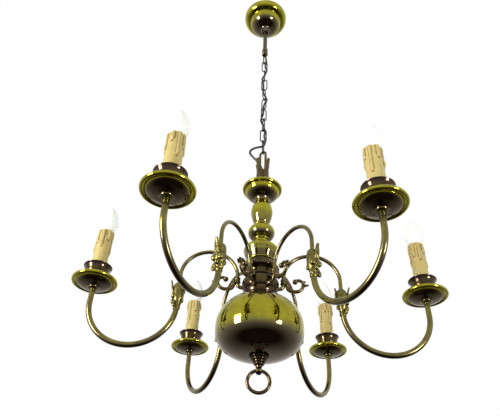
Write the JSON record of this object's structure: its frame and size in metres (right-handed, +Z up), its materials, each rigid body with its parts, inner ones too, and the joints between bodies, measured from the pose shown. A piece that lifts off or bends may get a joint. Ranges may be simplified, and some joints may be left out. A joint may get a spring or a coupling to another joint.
{
  "type": "multi arm chandelier",
  "caption": "Hanging brass chandelier with bent arms round a turned column and ball, candle lamps over drip dishes, a chain and a ceiling canopy.",
  "frame": {"origin": "centre of the ceiling strap, in the ceiling plane that the strap is screwed to", "axes": "+Z is up, the chandelier hangs along -Z, -Y is the front, +X is the right"},
  "size_m": [0.614, 0.5483, 0.9664],
  "materials": {
    "antique_brass": "lacquered antique brass, polished bright on the rims",
    "dark_brass": "dark patinated brass, lacquered",
    "cast_brass": "sand cast brass, antiqued",
    "bronzed_steel": "bronzed steel wire",
    "zinc_steel": "zinc plated steel",
    "cable_pvc": "black PVC cable sheath",
    "candle_cream": "cream moulded candle tube with antiqued drips",
    "lamp_holder": "thermoset lamp holder",
    "bulb_glass": "frosted glass candle bulb with a brass cap"
  },
  "bodies": {
    "ceiling": {"ceiling_strap": "zinc_steel", "stem_tube": "dark_brass", "stem_nut": "zinc_steel", "stem_collar": "dark_brass", "supply_cable": "cable_pvc"},
    "canopy": {"canopy": "antique_brass", "canopy_screw": "dark_brass"},
    "link_1": {"chain_link_1": "bronzed_steel"},
    "link_2": {"chain_link_2": "bronzed_steel"},
    "link_3": {"chain_link_3": "bronzed_steel"},
    "link_4": {"chain_link_4": "bronzed_steel"},
    "link_5": {"chain_link_5": "bronzed_steel"},
    "link_6": {"chain_link_6": "bronzed_steel"},
    "link_7": {"chain_link_7": "bronzed_steel"},
    "link_8": {"chain_link_8": "bronzed_steel"},
    "link_9": {"chain_link_9": "bronzed_steel"},
    "pendant": {"hanger": "cast_brass", "top_dish": "antique_brass", "column_egg": "antique_brass", "column_knob": "antique_brass", "column_vase": "antique_brass", "vase_ring": "antique_brass", "arm_hub": "dark_brass", "hub_cap": "dark_brass", "ball": "antique_brass", "finial": "dark_brass", "centre_tube": "zinc_steel", "tube_nuts": "zinc_steel", "junction_block": "lamp_holder", "arm_1": "antique_brass", "arm_2": "antique_brass", "arm_3": "antique_brass", "arm_4": "antique_brass", "arm_5": "antique_brass", "arm_6": "antique_brass", "drip_dish_1": "antique_brass", "drip_dish_2": "antique_brass", "drip_dish_3": "antique_brass", "drip_dish_4": "antique_brass", "drip_dish_5": "antique_brass", "drip_dish_6": "antique_brass", "candle_sleeve_1": "candle_cream", "candle_sleeve_2": "candle_cream", "candle_sleeve_3": "candle_cream", "candle_sleeve_4": "candle_cream", "candle_sleeve_5": "candle_cream", "candle_sleeve_6": "candle_cream", "candle_cups": "dark_brass", "lamp_holders": "lamp_holder", "arm_clips": "cast_brass", "arm_scrolls": "cast_brass", "arm_nuts": "zinc_steel", "lead_wires": "cable_pvc"},
    "pull_ring": {"pull_ring": "dark_brass"},
    "bulb_1": {"bulb_1": "bulb_glass"},
    "bulb_2": {"bulb_2": "bulb_glass"},
    "bulb_3": {"bulb_3": "bulb_glass"},
    "bulb_4": {"bulb_4": "bulb_glass"},
    "bulb_5": {"bulb_5": "bulb_glass"},
    "bulb_6": {"bulb_6": "bulb_glass"}
  },
  "joints": [
    {"name": "canopy_slide", "type": "slide", "parent": "ceiling", "child": "canopy", "axis": [0, 0, 1], "range_m": [-0.065, 0]},
    {"name": "link_1_swing", "type": "hinge", "parent": "ceiling", "child": "link_1", "pos_m": [0, 0, -0.1892], "axis": [-0.5, 0.866, 0], "range_deg": [-10, 10]},
    {"name": "link_2_swing", "type": "hinge", "parent": "link_1", "child": "link_2", "pos_m": [0, 0, -0.2218], "axis": [-0.9659, -0.2588, 0], "range_deg": [-10, 10]},
    {"name": "link_3_swing", "type": "hinge", "parent": "link_2", "child": "link_3", "pos_m": [0, 0, -0.2547], "axis": [0, -1, 0], "range_deg": [-10, 10]},
    {"name": "link_4_swing", "type": "hinge", "parent": "link_3", "child": "link_4", "pos_m": [0, 0, -0.2876], "axis": [0.9659, -0.2588, 0], "range_deg": [-10, 10]},
    {"name": "link_5_swing", "type": "hinge", "parent": "link_4", "child": "link_5", "pos_m": [0, 0, -0.3205], "axis": [0.5, 0.866, 0], "range_deg": [-10, 10]},
    {"name": "link_6_swing", "type": "hinge", "parent": "link_5", "child": "link_6", "pos_m": [0, 0, -0.3534], "axis": [-0.7071, 0.7071, 0], "range_deg": [-10, 10]},
    {"name": "link_7_swing", "type": "hinge", "parent": "link_6", "child": "link_7", "pos_m": [0, 0, -0.3863], "axis": [-0.866, -0.5, 0], "range_deg": [-10, 10]},
    {"name": "link_8_swing", "type": "hinge", "parent": "link_7", "child": "link_8", "pos_m": [0, 0, -0.4192], "axis": [0.2588, -0.9659, 0], "range_deg": [-10, 10]},
    {"name": "link_9_swing", "type": "hinge", "parent": "link_8", "child": "link_9", "pos_m": [0, 0, -0.4521], "axis": [1, 0, 0], "range_deg": [-10, 10]},
    {"name": "pendant_swing", "type": "hinge", "parent": "link_9", "child": "pendant", "pos_m": [0, 0, -0.485], "axis": [0.2588, 0.9659, 0], "range_deg": [-10, 10], "deforming": ["supply_cable"]},
    {"name": "pull_ring_swing", "type": "hinge", "parent": "pendant", "child": "pull_ring", "pos_m": [0, 0, -0.931], "axis": [1, 0, 0], "range_deg": [-80, 80]},
    {"name": "bulb_1_turn", "type": "hinge", "parent": "pendant", "child": "bulb_1", "pos_m": [-0.13007, -0.2366, -0.713], "axis": [0, 0, 1], "range_deg": [0, 720]},
    {"name": "bulb_2_turn", "type": "hinge", "parent": "pendant", "child": "bulb_2", "pos_m": [0.14547, -0.22746, -0.713], "axis": [0, 0, 1], "range_deg": [0, 720]},
    {"name": "bulb_3_turn", "type": "hinge", "parent": "pendant", "child": "bulb_3", "pos_m": [0.27, 0.00141, -0.713], "axis": [0, 0, 1], "range_deg": [0, 720]},
    {"name": "bulb_4_turn", "type": "hinge", "parent": "pendant", "child": "bulb_4", "pos_m": [0.14388, 0.22847, -0.713], "axis": [0, 0, 1], "range_deg": [0, 720]},
    {"name": "bulb_5_turn", "type": "hinge", "parent": "pendant", "child": "bulb_5", "pos_m": [-0.128, 0.23773, -0.713], "axis": [0, 0, 1], "range_deg": [0, 720]},
    {"name": "bulb_6_turn", "type": "hinge", "parent": "pendant", "child": "bulb_6", "pos_m": [-0.27, 0.00094, -0.713], "axis": [0, 0, 1], "range_deg": [0, 720]}
  ]
}
